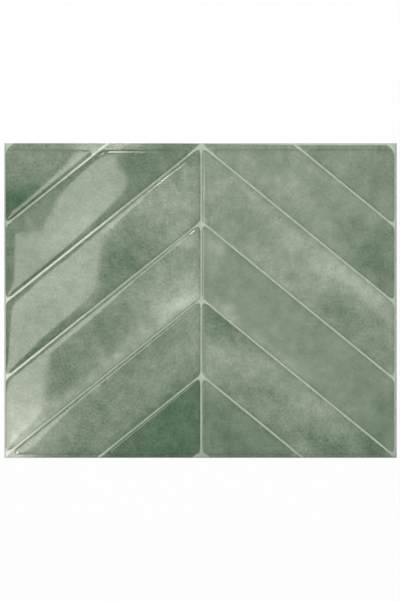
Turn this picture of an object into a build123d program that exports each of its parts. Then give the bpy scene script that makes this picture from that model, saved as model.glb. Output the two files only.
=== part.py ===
from build123d import *
import os
from math import cos, radians, tan

# Sheet, in millimetres. The origin is at the middle of the sticky back, +X runs along the long
# side, +Y up the pattern to the overlap strip, and +Z out of the face.
sheet_width = 285.0
sheet_height = 228.5
film_thickness = 0.35

# Chevron: slanted bands fall away on both sides of an upright grout line, the spine.
slants = {"left": 38.7, "right": 39.25}  # degrees between the bands of each half and the long side
band_pitch = 55.7  # up the sheet, from one slanted grout line to the next
spine_x = 0.6  # the print sits a little to the right on the sheet
top_line_y = 168.7  # where the first slanted grout line would meet the spine, above the sheet
line_count = 5  # slanted grout lines on each side of the spine
grout_width = 1.7  # bare film between two gel tiles
whole_rows = (3, 4)  # tiles from the top that keep both ends; the edges of the gel cut the others short

# Film left bare around the gel. The wide strip at the top is lapped by the next sheet up.
strip_top = 4.8
strip_bottom = 2.45
strip_left = 1.1
strip_right = 1.8

# Gel tiles: poured domes whose rolled edge comes down to a short upright wall
gel_height = 1.55
roll_radius = 1.2

# Corner radii of the gel in plan, each with the range of inside angles that it is for, in degrees
corner_radii = [(30, 60, 2.5), (80, 100, 4.0), (120, 150, 5.0)]

gel_left = -sheet_width / 2 + strip_left
gel_right = sheet_width / 2 - strip_right
gel_top = sheet_height / 2 - strip_top
gel_bottom = -sheet_height / 2 + strip_bottom

os.makedirs("parts", exist_ok=True)


def band_edge(line_y, x, slant):
    """Height on the sheet, at x, of the slanted line that meets the spine at line_y."""
    return line_y - abs(x - spine_x) * tan(radians(slant))


def corners(sketch, smallest, largest):
    """The corners of a flat outline whose inside angle lies between two limits, in degrees."""
    found = []
    for corner in sketch.vertices():
        ways = []
        for edge in sketch.edges():
            if (edge @ 0 - Vector(corner)).length < 1e-6:
                ways.append(edge % 0)
            elif (edge @ 1 - Vector(corner)).length < 1e-6:
                ways.append(-(edge % 1))
        if smallest < ways[0].get_angle(ways[1]) < largest:
            found.append(corner)
    return found


# Printed film: one die-cut sheet, sticky on its back
with BuildPart() as printed_film:
    with BuildSketch():
        Rectangle(sheet_width, sheet_height)
    extrude(amount=film_thickness)
printed_film.part.label = "printed_film"
export_step(printed_film.part, "parts/printed_film.step")

# Gel tiles: the grout lines cut each half of the sheet into six, numbered from the top down
lines = [top_line_y - band_pitch * number for number in range(line_count)]
upper_lines = [top_line_y + sheet_height] + lines
lower_lines = lines + [lines[-1] - sheet_height]
halves = {
    "left": (spine_x - grout_width / 2, gel_left),
    "right": (spine_x + grout_width / 2, gel_right),
}

for side, (inner_x, outer_x) in halves.items():
    slant = slants[side]
    half_gap_up = grout_width / 2 / cos(radians(slant))  # half a slanted grout line, measured up the sheet
    for row, (upper, lower) in enumerate(zip(upper_lines, lower_lines), start=1):
        with BuildPart() as gel_tile:
            with BuildSketch(Plane.XY.offset(film_thickness)) as outline:
                with BuildLine():
                    Polyline(
                        (inner_x, band_edge(upper, inner_x, slant) - half_gap_up),
                        (outer_x, band_edge(upper, outer_x, slant) - half_gap_up),
                        (outer_x, band_edge(lower, outer_x, slant) + half_gap_up),
                        (inner_x, band_edge(lower, inner_x, slant) + half_gap_up),
                        close=True,
                    )
                make_face()
                if row not in whole_rows:
                    with Locations(((inner_x + outer_x) / 2, (gel_top + gel_bottom) / 2)):
                        Rectangle(abs(outer_x - inner_x), gel_top - gel_bottom, mode=Mode.INTERSECT)
                for smallest, largest, radius in corner_radii:
                    sharp = corners(outline, smallest, largest)
                    if sharp:
                        fillet(sharp, radius)
            extrude(amount=gel_height)
            fillet(gel_tile.faces().sort_by(Axis.Z)[-1].edges(), roll_radius)
        name = f"gel_tile_{side}_{row}"
        gel_tile.part.label = name
        export_step(gel_tile.part, f"parts/{name}.step")
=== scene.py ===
from math import atan2, ceil, cos, exp, pi, radians, sin, tan

import bpy
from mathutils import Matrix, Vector, noise
from mathutils.geometry import delaunay_2d_cdt


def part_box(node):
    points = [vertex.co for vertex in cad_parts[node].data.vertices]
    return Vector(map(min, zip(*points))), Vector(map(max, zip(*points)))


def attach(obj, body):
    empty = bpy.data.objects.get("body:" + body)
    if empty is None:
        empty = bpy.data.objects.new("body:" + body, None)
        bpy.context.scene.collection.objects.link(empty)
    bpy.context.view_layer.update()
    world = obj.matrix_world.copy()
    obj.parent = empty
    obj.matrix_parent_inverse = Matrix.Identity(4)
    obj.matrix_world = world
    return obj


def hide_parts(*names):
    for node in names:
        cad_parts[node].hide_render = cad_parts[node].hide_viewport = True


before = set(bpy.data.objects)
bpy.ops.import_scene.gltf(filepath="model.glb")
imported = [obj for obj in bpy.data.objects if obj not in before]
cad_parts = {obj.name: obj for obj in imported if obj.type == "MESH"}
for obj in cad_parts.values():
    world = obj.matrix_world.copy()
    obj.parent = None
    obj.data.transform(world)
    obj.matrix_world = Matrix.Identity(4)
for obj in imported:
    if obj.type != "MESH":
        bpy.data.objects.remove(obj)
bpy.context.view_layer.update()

MM = 0.001

# Sheet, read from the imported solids, in metres
film_low, film_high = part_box("printed_film")
whole_left_low, whole_left_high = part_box("gel_tile_left_3")
whole_right_low, whole_right_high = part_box("gel_tile_right_3")
film_top = film_high.z
gel_top_z = whole_left_high.z
gel_left = whole_left_low.x
gel_right = whole_right_high.x
gel_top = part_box("gel_tile_left_1")[1].y
gel_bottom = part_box("gel_tile_left_6")[0].y
spine_x = (whole_left_high.x + whole_right_low.x) / 2
grout_width = whole_right_low.x - whole_left_high.x

# Chevron, as in the solids
slants = {"left": radians(38.7), "right": radians(39.25)}
band_pitch = 55.7 * MM
top_line_y = 168.7 * MM
line_count = 5
row_count = line_count + 1
whole_rows = (3, 4)
beyond_sheet = 1.0  # farther up or down than the sheet reaches

# Corner radii of the gel, each with the range of inside angles that it is for, in degrees
corner_radii = [(30, 60, 2.5 * MM), (80, 100, 4.0 * MM), (120, 150, 5.0 * MM)]

# Gel section: a small rolled edge, then a shoulder that runs out into a nearly flat top with soft waves.
# A shoulder drops by its height at the edge and fades over its reach.
roll_width = 0.4 * MM
shoulders = {
    "upper slant": (0.25 * MM, 1.25 * MM),
    "lower slant": (0.25 * MM, 1.4 * MM),
    "upright or bottom": (0.20 * MM, 1.6 * MM),
    "top": (0.20 * MM, 0.5 * MM),
}
wave_height = 0.03 * MM
wave_length = 40 * MM
wave_spacing = 3.1  # between the tiles in the noise, so that each has waves of its own
top_height = gel_top_z - film_top - wave_height
painted_edge_shade_reach = 2.6 * MM  # how far in from its edge the gel looks darker

# Mesh spacing
roll_steps = 10
shoulder_insets = [0.6 * MM, 0.9 * MM, 1.2 * MM, 1.5 * MM, 1.8 * MM, 2.1 * MM]
arc_step = radians(9)
edge_step = 1.8 * MM
grid_step = 1.5 * MM
film_step = 4.0 * MM
weld_distance = 1e-7
keep_inside = 1  # tells the triangulation to leave out what lies outside the rim

# Print: a tone for every point, from 0, dark green, to 1, pale olive grey. Each tile has a tone, a strength
# of grain and its clouds: middle x and y, reach along and across the band (all in mm), and change of tone.
# A few clouds along the edges are painted shade and painted highlights, as marked below.
PRINT = {
    "left_1": (0.62, 1.6, [
        (-134, 70, 20, 16, -0.55), (-112, 76, 15, 9, -0.20),
    ]),
    "left_2": (0.44, 1.65, [
        (-88, 52, 24, 12, 0.24), (-50, 98, 15, 10, -0.14), (-125, 62, 18, 10, 0.10),
        # Painted shade: the narrow dark cloud at -111, 25 runs along the lower edge of left_2
        (-128, 28, 18, 12, -0.12), (-111, 25, 26, 5, -0.22),
    ]),
    "left_3": (0.59, 2.1, [
        (-20, 74, 22, 14, 0.30), (-58, 28, 22, 16, -0.23), (-125, -22, 34, 18, -0.22),
        # Painted shade: the narrow dark cloud at -108, -28 runs along the lower edge of left_3. The cloud at
        # -42, 69 is partly paler print and partly a painted reflection of the window on the upper shoulder.
        (-108, -28, 32, 5, -0.15), (-14, 44, 16, 8, 0.20), (-42, 69, 16, 7, 0.20),
        (-87, 26, 14, 10, -0.12), (-10, 60, 10, 10, 0.15),
    ]),
    "left_4": (0.60, 1.7, [
        (-15, 0, 30, 15, 0.45), (-62, -46, 62, 8, 0.32), (-62, -14, 18, 12, -0.18),
        # Partly paler print and partly a painted reflection of the window: the clouds at -134, -88 and, two
        # lines down, -132, -102 brighten the lower-left tip of left_4
        (-102, -50, 16, 16, -0.18), (-134, -88, 20, 16, 0.28), (-56, -4, 12, 8, 0.18),
        # Painted highlights: the clouds at -9, 41 and -22, 38 run along the upper edge of left_4 by the spine
        (-9, 41, 12, 6, 0.30), (-22, 38, 20, 3, 0.30), (-120, -92, 22, 7, 0.42),
        # Painted highlight: the thin cloud at -10, -3 runs along the lower edge of left_4 by the spine
        (-34, 12, 12, 8, 0.15), (-10, -3, 16, 4, 0.25), (-132, -102, 8, 6, 0.40),
    ]),
    "left_5": (0.58, 1.7, [
        (-6, -14, 14, 12, 0.18), (-8, -34, 12, 10, 0.15), (-23, -30, 10, 8, -0.15),
        (-52, -48, 12, 10, -0.15), (-78, -76, 20, 10, -0.15), (-112, -100, 16, 12, 0.22),
        (-85, -106, 14, 8, -0.20), (-40, -56, 12, 10, 0.10), (-78, -66, 14, 8, 0.22),
        (-32, -79, 36, 6, -0.25), (-128, -107, 12, 8, 0.15),
    ]),
    "left_6": (0.16, 1.5, [
        (-20, -108, 20, 8, -0.08),
    ]),
    "right_1": (0.66, 1.2, [
        (126, 86, 12, 12, -0.20),
    ]),
    "right_2": (0.73, 1.25, [
        (68, 80, 18, 12, 0.06), (92, 73, 14, 8, -0.12), (128, 28, 22, 15, -0.44),
        (110, 54, 12, 10, -0.15), (50, 102, 12, 8, -0.08), (138, 50, 8, 10, -0.30),
    ]),
    "right_3": (0.74, 1.5, [
        (30, 57, 14, 12, -0.14), (62, 44, 10, 8, 0.20), (108, 18, 34, 10, 0.36),
        (84, 22, 14, 8, 0.15), (100, -10, 20, 10, -0.25), (126, -34, 20, 12, -0.16),
        (60, 11, 30, 5, 0.18), (128, -16, 14, 10, -0.12), (34, 79, 10, 5, 0.20),
    ]),
    "right_4": (0.64, 0.75, [
        (22, -13, 16, 6, 0.36), (45, -33, 14, 6, 0.20), (66, -48, 12, 6, 0.25),
        (10, 40, 12, 10, 0.25), (112, -55, 35, 16, -0.10), (134, -75, 12, 10, -0.22),
        (120, -92, 14, 8, -0.15), (136, -95, 8, 12, -0.20),
    ]),
    "right_5": (0.62, 1.7, [
        (14, -14, 18, 9, -0.30), (22, -42, 18, 12, 0.14), (35, -66, 16, 8, -0.12),
        (82, -75, 18, 8, 0.25), (95, -107, 25, 8, -0.30), (55, -98, 14, 8, -0.15),
        (52, -46, 14, 6, 0.15), (124, -106, 12, 8, -0.35), (36, -50, 8, 6, 0.22),
        (6, -36, 8, 10, 0.20), (8, -55, 8, 8, 0.20),
    ]),
    "right_6": (0.42, 1.2, [
        (10, -62, 14, 8, 0.26), (22, -105, 18, 10, -0.10),
    ]),
}

# Noise of the print: ragged edges and soft mottling of the clouds in the mesh, finer marks in the material
stray_steps = [(16 * MM, 5 * MM), (5 * MM, 2.5 * MM)]
cloud_length = 13 * MM
cloud_depth = 0.10
cloud_falloff = 0.9
cloud_ratio = 2.0
cloud_octaves = 4
tile_spacing = 7.3  # between the tiles in the noise, so that each has clouds of its own
blotch_length = 7 * MM
blotch_depth = 0.25
speck_length = 1.8 * MM
speck_depth = 0.21

# Colours of the print by tone, and of the grout and the back, as they show on screen, 0 to 255
print_colours = [
    (0.0, (74, 100, 76)),
    (0.2, (92, 114, 91)),
    (0.43, (113, 130, 109)),
    (0.66, (132, 146, 126)),
    (1.0, (160, 170, 152)),
    (1.4, (190, 199, 183)),
]
grout_dark = (172, 186, 166)
grout_pale = (190, 203, 184)
back_dark = (206, 208, 202)
back_pale = (222, 223, 218)

# Reflected white room light that lies over the print, as a linear share
gel_haze = 0.035
film_haze = 0.07

# What the print and the grout are multiplied by where they look darker: painted shade at the gel's edge and
# along the sheet's rim, and darker grout near the bottom
gel_edge_painted_shade = (0.85, 0.87, 0.84, 1.0)
low_grout_tint = (0.66, 0.68, 0.66, 1.0)
# Painted shade along the sheet's rim, on the right, at the bottom and on the left
rim_painted_shade = (0.42, 0.41, 0.44, 1.0)
left_rim_painted_shade = (0.40, 0.39, 0.40, 1.0)

# Printed grout lines on the film
meeting_round = 5.0 * MM  # how far the corners are rounded where lines meet
print_blur = 0.25 * MM

# Studio. The lamps are given by azimuth and elevation in degrees, and power in watts
white = (1.0, 1.0, 1.0, 1.0)
room_strength = 0.55
lamps = {"key": (125, 55, 11), "fill": (-50, 55, 6.5)}
lamp_distance = 1.6
lamp_size = 1.0
floor_colour = (0.9, 0.9, 0.9, 1.0)
floor_glow = 0.8  # share of plain white in the floor where it is seen
floor_half = 5.0
floor_gap = 0.02 * MM

# Window over the camera. The outlines of its panes are given where they show on flat gel, in mm on the sheet
window_height = 1.3
window_tint = (1.0, 0.97, 0.90, 1.0)
window_strength = 5.5
window_edge_strength = 4.2
window_outline = [
    (-72, 113), (-72, 109), (-58, 109), (-61, 101), (-57, 94), (-52, 86), (-54, 81), (-68, 51), (-71, 33),
    (-74, 11), (-83, -6), (-110, -33), (-111, -58), (-112, -76), (-116, -90), (-122, -106), (-126, -120),
    (-128, -159), (-327, -159), (-327, -101), (-254, -72), (-179, -40), (-149, -7), (-139, 22), (-136, 50),
    (-115, 51), (-98, 88), (-91, 109), (-91, 113),
]
bright_panes = {
    "top": (28, [(-40, 121), (-60, 119), (-70, 119), (-74, 134), (-70, 144), (-54, 130)]),
    "top_right": (11, [(-28, 120), (-40, 121), (-54, 130), (-70, 144), (-44, 139), (-36, 128)]),
    "top_left": (20, [(-84, 124), (-91, 124), (-91, 136), (-84, 136)]),
    "left": (28, [(-142, -230), (-178, -230), (-178, -140), (-142, -140)]),
}
bright_edge_share = 2 / 3  # a bright pane's edge against its middle
pane_edge = 4

# View: straight down, with the picture's height covering this much of the sheet's plane
picture_height = 436.8 * MM
camera_height = 1.2
sensor = 36.0


# Outlines

def side_of(point):
    return "left" if point.x < spine_x else "right"


def band_edge(line_y, x, slant):
    """Height on the sheet, at x, of the slanted line that meets the spine at line_y."""
    return line_y - abs(x - spine_x) * tan(slant)


def clip(corners, side):
    """The part of a convex outline where side(point) is not negative."""
    kept = []
    for here, there in zip(corners, corners[1:] + corners[:1]):
        a = side(here)
        b = side(there)
        if a >= 0:
            kept.append(here)
        if a * b < 0:
            kept.append(here.lerp(there, a / (a - b)))
    return kept


def tile_corners(side, row):
    """The corners of a gel tile before they are rounded, anticlockwise."""
    lines = [top_line_y - band_pitch * number for number in range(line_count)]
    upper = ([top_line_y + beyond_sheet] + lines)[row - 1]
    lower = (lines + [lines[-1] - beyond_sheet])[row - 1]
    slant = slants[side]
    half_gap = grout_width / 2 / cos(slant)
    inner = spine_x + (-grout_width / 2 if side == "left" else grout_width / 2)
    outer = gel_left if side == "left" else gel_right
    corners = [
        Vector((inner, band_edge(upper, inner, slant) - half_gap)),
        Vector((outer, band_edge(upper, outer, slant) - half_gap)),
        Vector((outer, band_edge(lower, outer, slant) + half_gap)),
        Vector((inner, band_edge(lower, inner, slant) + half_gap)),
    ]
    if side == "right":
        corners.reverse()
    if row not in whole_rows:
        corners = clip(corners, lambda point: gel_top - point.y)
        corners = clip(corners, lambda point: point.y - gel_bottom)
    return corners


def outward(here, there):
    """The normal that points out of an anticlockwise outline along one edge."""
    way = (there - here).normalized()
    return Vector((way.y, -way.x))


def corner_arc(before, corner, after):
    """Centre, radius, first angle and turn of the arc that rounds a corner."""
    first = outward(before, corner)
    last = outward(corner, after)
    turn = (atan2(last.y, last.x) - atan2(first.y, first.x)) % (2 * pi)
    inside = 180 * (1 - turn / pi)
    radius = next(size for low, high, size in corner_radii if low < inside < high)
    centre = corner - (first + last) * radius / (1 + first.dot(last))
    return centre, radius, atan2(first.y, first.x), turn


def rounded_ring(corners, inset):
    """Points round the outline, moved in by inset. Their number doesn't depend on the inset."""
    count = len(corners)
    arcs = [corner_arc(corners[i - 1], corners[i], corners[(i + 1) % count]) for i in range(count)]
    ring = []
    for i, (centre, radius, start, turn) in enumerate(arcs):
        pieces = ceil(turn / arc_step)
        for step in range(pieces + 1):
            angle = start + turn * step / pieces
            ring.append(centre + Vector((cos(angle), sin(angle))) * (radius - inset))
        next_centre, next_radius, next_start, _ = arcs[(i + 1) % count]
        end = next_centre + Vector((cos(next_start), sin(next_start))) * (next_radius - inset)
        here = ring[-1]
        pieces = max(1, round((end - here).length / edge_step))
        ring.extend(here.lerp(end, step / pieces) for step in range(1, pieces))
    return ring


def edge_distances(corners, point):
    """How far inside each edge of a convex outline a point is, with that edge's outward normal."""
    found = []
    for here, there in zip(corners, corners[1:] + corners[:1]):
        out = outward(here, there)
        found.append(((here - point).dot(out), out))
    return found


def nearest_edge(corners, point):
    """How far inside the nearest edge of a convex outline a point is."""
    return min(distance for distance, out in edge_distances(corners, point))


# Print

def tile_at(point):
    """Name of the tile whose print covers a point of the sheet."""
    side = side_of(point)
    below_top = band_edge(top_line_y, point.x, slants[side]) - point.y
    row = min(max(ceil(below_top / band_pitch) + 1, 1), row_count)
    return f"{side}_{row}"


def print_tone(tile, point):
    """The tile's tone at a point, with clouds stretched along the band and ragged at their edges."""
    tone, _, clouds = PRINT[tile]
    depth = tile_spacing * list(PRINT).index(tile)
    side = tile.split("_")[0]
    slant = slants["left"] if side == "left" else -slants["right"]
    along = Vector((cos(slant), sin(slant)))
    across = Vector((-along.y, along.x))
    strayed = point.copy()
    for length, reach in stray_steps:
        place = Vector((point.x / length, point.y / length, depth))
        strayed += noise.noise_vector(place).to_2d() * reach
    for x, y, reach_along, reach_across, change in clouds:
        away = strayed / MM - Vector((x, y))
        distance = (away.dot(along) / reach_along) ** 2 + (away.dot(across) / reach_across) ** 2
        tone += change * exp(-distance)
    place = Vector((point.x / cloud_length, point.y / cloud_length, depth))
    return tone + cloud_depth * noise.fractal(place, cloud_falloff, cloud_ratio, cloud_octaves)


# Meshes

def place_in_scene(made):
    bpy.context.scene.collection.objects.link(made)


def make_piece(name, points, faces, flat_faces, carried):
    """A closed mesh with smooth faces, then flat ones, and named values that it carries at each point."""
    mesh = bpy.data.meshes.new(name)
    mesh.from_pydata(points, [], faces + flat_faces)
    smooth = [True] * len(faces) + [False] * len(flat_faces)
    mesh.polygons.foreach_set("use_smooth", smooth)
    for attribute, values in carried.items():
        mesh.attributes.new(attribute, "FLOAT", "POINT").data.foreach_set("value", values)
    piece = bpy.data.objects.new(name, mesh)
    place_in_scene(piece)
    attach(piece, "root")
    return piece


def bridge(outer, inner):
    """Quads between two rings of the same number of points."""
    count = len(outer)
    return [
        (outer[i], outer[(i + 1) % count], inner[(i + 1) % count], inner[i])
        for i in range(count)
    ]


def edge_kind(out):
    """Which of the shoulders belongs to an edge with this outward normal."""
    slanted = abs(out.x * out.y) > 0.1
    if slanted:
        return "upper slant" if out.y > 0 else "lower slant"
    return "top" if out.y > 0.5 else "upright or bottom"


def gel_height(corners, number, point):
    """Height of a gel tile's top over the film, inside its rolled edge."""
    height = top_height
    for distance, out in edge_distances(corners, point):
        drop, reach = shoulders[edge_kind(out)]
        height -= drop * exp(-max(distance, 0) / reach)
    place = Vector((point.x / wave_length, point.y / wave_length, wave_spacing * number))
    return height + wave_height * noise.noise(place)


def grid_inside(corners):
    """Points of a staggered grid over a gel tile's top, clear of the rings along its edge."""
    low_x = min(corner.x for corner in corners)
    high_x = max(corner.x for corner in corners)
    low_y = min(corner.y for corner in corners)
    high_y = max(corner.y for corner in corners)
    clear = shoulder_insets[-1] + grid_step / 2
    inside = []
    for j in range(ceil((high_y - low_y) / grid_step)):
        for i in range(ceil((high_x - low_x) / grid_step)):
            point = Vector((low_x + (i + 0.5 * (j % 2)) * grid_step, low_y + j * grid_step))
            if nearest_edge(corners, point) > clear:
                inside.append(point)
    return inside


def gel_tile(side, row):
    """A gel tile: rings from the film up the rolled edge and over the shoulder, then the top."""
    name = f"{side}_{row}"
    number = list(PRINT).index(name)
    corners = tile_corners(side, row)
    angles = [pi / 2 * step / roll_steps for step in range(roll_steps + 1)]
    section = [(roll_width * (1 - cos(angle)), sin(angle)) for angle in angles]
    section += [(inset, 1.0) for inset in shoulder_insets]
    flat_points = []
    heights = []
    rings = []
    for inset, share in section:
        ring = rounded_ring(corners, inset)
        rings.append(range(len(flat_points), len(flat_points) + len(ring)))
        flat_points.extend(ring)
        heights.extend(gel_height(corners, number, point) * share for point in ring)
    faces = []
    for outer, inner in zip(rings, rings[1:]):
        faces.extend(bridge(outer, inner))

    rim = rings[-1]
    rim_edges = [(i, (i + 1) % len(rim)) for i in range(len(rim))]
    inside = grid_inside(corners)
    top_points = [flat_points[i] for i in rim] + inside
    top_faces = delaunay_2d_cdt(top_points, rim_edges, [], keep_inside, weld_distance)[2]
    faces.extend(tuple(rim[0] + i for i in face) for face in top_faces)
    flat_points.extend(inside)
    heights.extend(gel_height(corners, number, point) for point in inside)

    points = [(point.x, point.y, film_top + height) for point, height in zip(flat_points, heights)]
    carried = {
        "tone": [print_tone(name, point) for point in flat_points],
        "grain": [PRINT[name][1]] * len(points),
        # nearness to the gel's edge, which sets the painted shade there
        "edge": [exp(-(nearest_edge(corners, point) / painted_edge_shade_reach) ** 2) for point in flat_points],
    }
    underside = tuple(reversed(rings[0]))
    piece = make_piece(f"gel_{name}", points, faces, [underside], carried)
    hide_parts(f"gel_tile_{name}")
    return piece


def film_sheet():
    """The film as a closed slab, its face divided finely enough to carry the print's tone."""
    columns = round((film_high.x - film_low.x) / film_step)
    rows = round((film_high.y - film_low.y) / film_step)
    flat_points = []
    for j in range(rows + 1):
        for i in range(columns + 1):
            x = film_low.x + (film_high.x - film_low.x) * i / columns
            y = film_low.y + (film_high.y - film_low.y) * j / rows
            flat_points.append(Vector((x, y)))
    across = columns + 1
    face = []
    for j in range(rows):
        for i in range(columns):
            first = j * across + i
            face.append((first, first + 1, first + 1 + across, first + across))
    rim = list(range(columns))
    rim += [j * across + columns for j in range(rows)]
    rim += [rows * across + i for i in range(columns, 0, -1)]
    rim += [j * across for j in range(rows, 0, -1)]
    back = list(range(len(flat_points), len(flat_points) + len(rim)))
    points = [(point.x, point.y, film_top) for point in flat_points]
    points += [(flat_points[i].x, flat_points[i].y, film_low.z) for i in rim]
    flat_points += [flat_points[i] for i in rim]
    carried = {
        "tone": [print_tone(tile_at(point), point) for point in flat_points],
        "grain": [PRINT[tile_at(point)][1] for point in flat_points],
    }
    sides = bridge(back, rim)
    piece = make_piece("film_sheet", points, [], face + sides + [tuple(reversed(back))], carried)
    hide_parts("printed_film")
    return piece


# Materials

def linear(colour, haze=0.0):
    """A colour as it shows on screen, 0 to 255, as the linear colour that gives it under a haze."""
    values = []
    for value in colour:
        share = value / 255
        share = share / 12.92 if share <= 0.04045 else ((share + 0.055) / 1.055) ** 2.4
        values.append(max(share - haze, 0.0))
    return (*values, 1.0)


def new_material(name):
    material = bpy.data.materials.new(name)
    material.use_nodes = True
    material.node_tree.nodes.clear()
    return material, material.node_tree


def add(tree, kind, inputs=None, **settings):
    """A node with its settings, and its inputs either set or linked from another node's output."""
    made = tree.nodes.new(kind)
    for key, value in settings.items():
        setattr(made, key, value)
    for socket, value in (inputs or {}).items():
        if isinstance(value, bpy.types.NodeSocket):
            tree.links.new(value, made.inputs[socket])
        else:
            made.inputs[socket].default_value = value
    return made


def math(tree, operation, *values):
    return add(tree, "ShaderNodeMath", dict(enumerate(values)), operation=operation).outputs[0]


def carried_value(tree, name):
    """A value that the mesh carries."""
    return add(tree, "ShaderNodeAttribute", attribute_name=name).outputs["Fac"]


def fade(tree, value, start, end, first=0.0, last=1.0):
    """A value that goes from first to last while another goes from start to end."""
    inputs = {"Value": value, "From Min": start, "From Max": end, "To Min": first, "To Max": last}
    return add(tree, "ShaderNodeMapRange", inputs).outputs["Result"]


def blend(tree, share, first, second, way="MIX"):
    """The first colour mixed with the second, or multiplied by it, as far as share says."""
    inputs = {"Factor": share, 6: first, 7: second}
    return add(tree, "ShaderNodeMix", inputs, data_type="RGBA", blend_type=way).outputs[2]


def ramp(tree, factor, stops):
    made = add(tree, "ShaderNodeValToRGB", {"Fac": factor})
    elements = made.color_ramp.elements
    while len(elements) < len(stops):
        elements.new(0.5)
    for element, (position, colour) in zip(elements, stops):
        element.position = position
        element.color = colour
    return made.outputs["Color"]


def noise_at(tree, length, detail=2.0, roughness=0.5):
    """Noise, about 0 to 1, whose features are about this long."""
    place = add(tree, "ShaderNodeTexCoord").outputs["Object"]
    inputs = {"Vector": place, "Scale": 1 / length, "Detail": detail, "Roughness": roughness}
    return add(tree, "ShaderNodeTexNoise", inputs).outputs["Fac"]


def uneven(tree, length, least, most, detail=2.0, roughness=0.5):
    """A value that wanders between least and most, with features about this long."""
    return math(tree, "MULTIPLY_ADD", noise_at(tree, length, detail, roughness), most - least, least)


def finish_surface(tree, colour, roughness, bumps, bump_depth, more=None):
    """The shader of a surface with fine bumps, joined to the material's output."""
    bump = add(tree, "ShaderNodeBump", {"Height": bumps, "Strength": 1.0, "Distance": bump_depth})
    inputs = {"Base Color": colour, "Roughness": roughness, "Normal": bump.outputs["Normal"]}
    shader = add(tree, "ShaderNodeBsdfPrincipled", inputs | (more or {}))
    add(tree, "ShaderNodeOutputMaterial", {"Surface": shader.outputs["BSDF"]})


def print_colour(tree, haze):
    """The mottled print: the tone that the mesh carries, blotches and grain."""
    tone = carried_value(tree, "tone")
    grain = carried_value(tree, "grain")
    blotch = uneven(tree, blotch_length, -blotch_depth, blotch_depth, 3.0, 0.65)
    speck = uneven(tree, speck_length, -speck_depth, speck_depth, 2.0, 0.7)
    tone = math(tree, "MULTIPLY_ADD", blotch, math(tree, "MULTIPLY_ADD", grain, 0.5, 0.35), tone)
    tone = math(tree, "MULTIPLY_ADD", speck, grain, tone)
    palest = print_colours[-1][0]
    stops = [(step / palest, linear(colour, haze)) for step, colour in print_colours]
    return ramp(tree, math(tree, "DIVIDE", tone, palest), stops)


def gel_material():
    """Clear glossy gel over the print, with painted shade that darkens the print near the curved edge."""
    material, tree = new_material("gel")
    edge = carried_value(tree, "edge")
    # Painted shade: the print is darkened near the gel's edge
    colour = blend(tree, edge, print_colour(tree, gel_haze), gel_edge_painted_shade, "MULTIPLY")
    smear = uneven(tree, 30 * MM, 0.02, 0.07)
    finish_surface(tree, colour, smear, noise_at(tree, 5 * MM, 1.0), 0.006 * MM, {"IOR": 1.5})
    return material


def grout_distance(tree, x, y):
    """Distance from the middle of the nearest grout line, rounded where lines meet. Bare edges count too."""
    past_spine = math(tree, "SUBTRACT", x, spine_x)
    from_spine = math(tree, "ABSOLUTE", past_spine)
    fall_left = math(tree, "MULTIPLY", past_spine, -tan(slants["left"]))
    fall_right = math(tree, "MULTIPLY", past_spine, tan(slants["right"]))
    along = math(tree, "ADD", math(tree, "MAXIMUM", fall_left, fall_right), y)
    along = math(tree, "MINIMUM", math(tree, "SUBTRACT", along, top_line_y), band_pitch)
    along = math(tree, "MAXIMUM", along, -line_count * band_pitch)
    from_line = math(tree, "PINGPONG", along, band_pitch / 2)
    from_line = math(tree, "MULTIPLY", from_line, cos(slants["left"]))
    from_grout = math(tree, "SMOOTH_MIN", from_line, from_spine, meeting_round)
    from_left = math(tree, "SUBTRACT", x, gel_left)
    from_right = math(tree, "SUBTRACT", gel_right, x)
    from_side = math(tree, "MINIMUM", from_left, from_right)
    from_side = math(tree, "ADD", from_side, grout_width / 2)
    nearest = math(tree, "SMOOTH_MIN", from_grout, from_side, meeting_round)

    # The print lies turned a little on the sheet, so a sliver along the top is bare at the right
    bare = fade(tree, x, -55 * MM, 80 * MM, -0.3 * MM, 1.35 * MM)
    from_bare = math(tree, "SUBTRACT", math(tree, "SUBTRACT", film_high.y, y), bare)
    return math(tree, "MINIMUM", nearest, math(tree, "ADD", from_bare, grout_width / 2))


def film_colour(tree):
    """The film's face: print between grout lines, and painted shade along the rim."""
    place = add(tree, "ShaderNodeTexCoord").outputs["Object"]
    axes = add(tree, "ShaderNodeSeparateXYZ", {"Vector": place})
    x = axes.outputs["X"]
    y = axes.outputs["Y"]
    half_line = grout_width / 2
    printed = fade(tree, grout_distance(tree, x, y), half_line - print_blur, half_line + print_blur)
    grout = ramp(tree, noise_at(tree, 4 * MM, 3.0, 0.6), [
        (0.3, linear(grout_dark, film_haze)),
        (0.7, linear(grout_pale, film_haze)),
    ])

    # The grout looks darker near the bottom edge, to the right of the window's reflection
    near_bottom = fade(tree, y, film_low.y + 2 * MM, film_low.y + 9 * MM, 1.0, 0.0)
    right_of_veil = fade(tree, x, -60 * MM, -20 * MM)
    low_grout = math(tree, "MULTIPLY", near_bottom, right_of_veil)
    grout = blend(tree, low_grout, grout, low_grout_tint, "MULTIPLY")
    colour = blend(tree, printed, grout, print_colour(tree, film_haze))

    # Painted shade along the rim: darker on the right, at the bottom and, most of all lower down, on the left
    from_right_rim = math(tree, "SUBTRACT", film_high.x, x)
    from_rim = math(tree, "MINIMUM", from_right_rim, math(tree, "SUBTRACT", y, film_low.y))
    rim = fade(tree, from_rim, 0.3 * MM, 1.0 * MM, 1.0, 0.0)
    colour = blend(tree, rim, colour, rim_painted_shade, "MULTIPLY")
    left_rim_shade_mask = fade(tree, math(tree, "SUBTRACT", x, film_low.x), 0.9 * MM, 1.5 * MM, 1.0, 0.0)
    lower = fade(tree, y, -20 * MM, 90 * MM, 1.0, 0.3)
    return blend(tree, math(tree, "MULTIPLY", left_rim_shade_mask, lower), colour, left_rim_painted_shade, "MULTIPLY")


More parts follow.
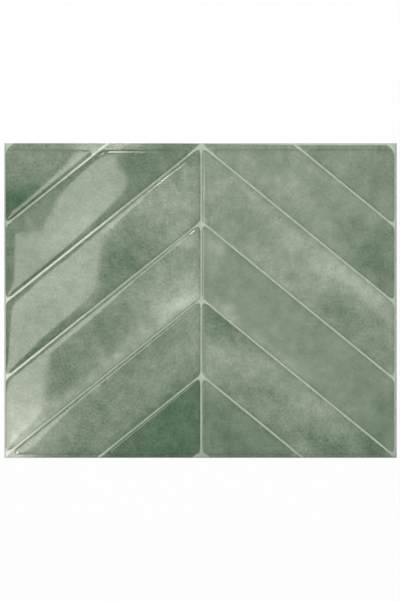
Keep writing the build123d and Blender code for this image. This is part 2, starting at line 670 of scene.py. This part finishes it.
def film_material():
    """Smooth printed film."""
    material, tree = new_material("printed_film")
    rough = uneven(tree, 3 * MM, 0.05, 0.10)
    gloss = {"IOR": 1.6, "Specular IOR Level": 0.65}
    finish_surface(tree, film_colour(tree), rough, noise_at(tree, 1.5 * MM), 0.01 * MM, gloss)
    return material


def back_material():
    """Pale sticky back, faintly uneven."""
    material, tree = new_material("adhesive_back")
    colour = ramp(tree, noise_at(tree, 12 * MM, 4.0, 0.6), [
        (0.3, linear(back_dark)),
        (0.7, linear(back_pale)),
    ])
    rough = uneven(tree, 6 * MM, 0.3, 0.5)
    finish_surface(tree, colour, rough, noise_at(tree, 2 * MM, 3.0), 0.02 * MM)
    return material


# Stage

def seen_directly(tree):
    """1 for rays from the camera, a mirror or glass, and 0 for light that only shines on things."""
    path = add(tree, "ShaderNodeLightPath")
    seen = math(tree, "MAXIMUM", path.outputs["Is Camera Ray"], path.outputs["Is Glossy Ray"])
    return math(tree, "MAXIMUM", seen, path.outputs["Is Transmission Ray"])


def white_floor():
    """White paper just below the film, nearly plain white where it is seen."""
    material, tree = new_material("floor")
    paper = add(tree, "ShaderNodeBsdfDiffuse", {"Color": floor_colour})
    glow = add(tree, "ShaderNodeEmission", {"Color": white, "Strength": 1.0})
    share = math(tree, "MULTIPLY", seen_directly(tree), floor_glow)
    mix = add(tree, "ShaderNodeMixShader", {0: share, 1: paper.outputs[0], 2: glow.outputs[0]})
    add(tree, "ShaderNodeOutputMaterial", {"Surface": mix.outputs[0]})
    mesh = bpy.data.meshes.new("floor")
    level = film_low.z - floor_gap
    ways = [(-1, -1), (1, -1), (1, 1), (-1, 1)]
    mesh.from_pydata([(x * floor_half, y * floor_half, level) for x, y in ways], [], [(0, 1, 2, 3)])
    mesh.materials.append(material)
    floor = bpy.data.objects.new("floor", mesh)
    place_in_scene(floor)


def white_room():
    """Even light from all sides, plain white where it is seen or mirrored."""
    world = bpy.data.worlds.new("room")
    world.use_nodes = True
    tree = world.node_tree
    tree.nodes.clear()
    light = add(tree, "ShaderNodeBackground", {"Color": white, "Strength": room_strength})
    seen = add(tree, "ShaderNodeBackground", {"Color": white, "Strength": 1.0})
    mix = add(tree, "ShaderNodeMixShader", {0: seen_directly(tree), 1: light.outputs[0], 2: seen.outputs[0]})
    add(tree, "ShaderNodeOutputWorld", {"Surface": mix.outputs[0]})
    bpy.context.scene.world = world


def area_light(name, azimuth, elevation, power):
    """A square lamp that points at the middle of the sheet."""
    lamp = bpy.data.lights.new(name, "AREA")
    lamp.size = lamp_size
    lamp.energy = power
    holder = bpy.data.objects.new(name, lamp)
    way = Vector((
        cos(radians(elevation)) * cos(radians(azimuth)),
        cos(radians(elevation)) * sin(radians(azimuth)),
        sin(radians(elevation)),
    ))
    holder.location = way * lamp_distance
    holder.rotation_euler = way.to_track_quat("Z", "Y").to_euler()
    holder.visible_glossy = False
    place_in_scene(holder)


def pane_material(name, edge_strength, strength):
    """A glow, dimmer at the pane's edge, that only shows in reflections and leaves the print's light even."""
    material, tree = new_material(name)
    bounces = add(tree, "ShaderNodeLightPath").outputs["Diffuse Depth"]
    inside = carried_value(tree, "inside")
    brightness = math(tree, "MULTIPLY_ADD", inside, strength - edge_strength, edge_strength)
    brightness = math(tree, "MULTIPLY", brightness, math(tree, "LESS_THAN", bounces, 0.5))
    glow = add(tree, "ShaderNodeEmission", {"Color": window_tint, "Strength": brightness})
    add(tree, "ShaderNodeOutputMaterial", {"Surface": glow.outputs[0]})
    return material


def window_pane(name, outline, edge_strength, strength):
    """A bright pane over the camera, from its clockwise outline as flat gel mirrors it."""
    count = len(outline)
    corners = [Vector(corner) for corner in outline]
    inner = []
    for before, corner, after in zip(corners[-1:] + corners[:-1], corners, corners[1:] + corners[:1]):
        first = outward(before, corner)
        last = outward(corner, after)
        inner.append(corner + (first + last) * pane_edge / (1 + first.dot(last)))
    spread = MM * (1 + window_height / camera_height)
    points = [(corner.x * spread, corner.y * spread, window_height) for corner in corners + inner]
    faces = bridge(range(count), range(count, 2 * count)) + [tuple(range(count, 2 * count))]
    mesh = bpy.data.meshes.new(name)
    mesh.from_pydata(points, [], faces)
    mesh.attributes.new("inside", "FLOAT", "POINT").data.foreach_set("value", [0.0] * count + [1.0] * count)
    mesh.materials.append(pane_material(name, edge_strength, strength))
    window = bpy.data.objects.new(name, mesh)
    window.visible_camera = False
    place_in_scene(window)


def camera():
    data = bpy.data.cameras.new("camera")
    data.sensor_width = sensor
    data.lens = sensor * camera_height / picture_height
    data.clip_end = 50
    holder = bpy.data.objects.new("camera", data)
    holder.location = (0, 0, camera_height)
    place_in_scene(holder)
    bpy.context.scene.camera = holder


# The object
gel = gel_material()
for tile in PRINT:
    side, row = tile.split("_")
    gel_tile(side, int(row)).data.materials.append(gel)

film = film_sheet()
film.data.materials.append(film_material())
film.data.materials.append(back_material())
film.data.polygons[len(film.data.polygons) - 1].material_index = 1

# The studio
bpy.context.scene.view_settings.view_transform = "Standard"
white_floor()
white_room()
for name, (azimuth, elevation, power) in lamps.items():
    area_light(name, azimuth, elevation, power)
window_pane("window_pane", window_outline, window_edge_strength, window_strength)
for name, (strength, outline) in bright_panes.items():
    window_pane(f"bright_pane_{name}", outline, strength * bright_edge_share, strength)
camera()
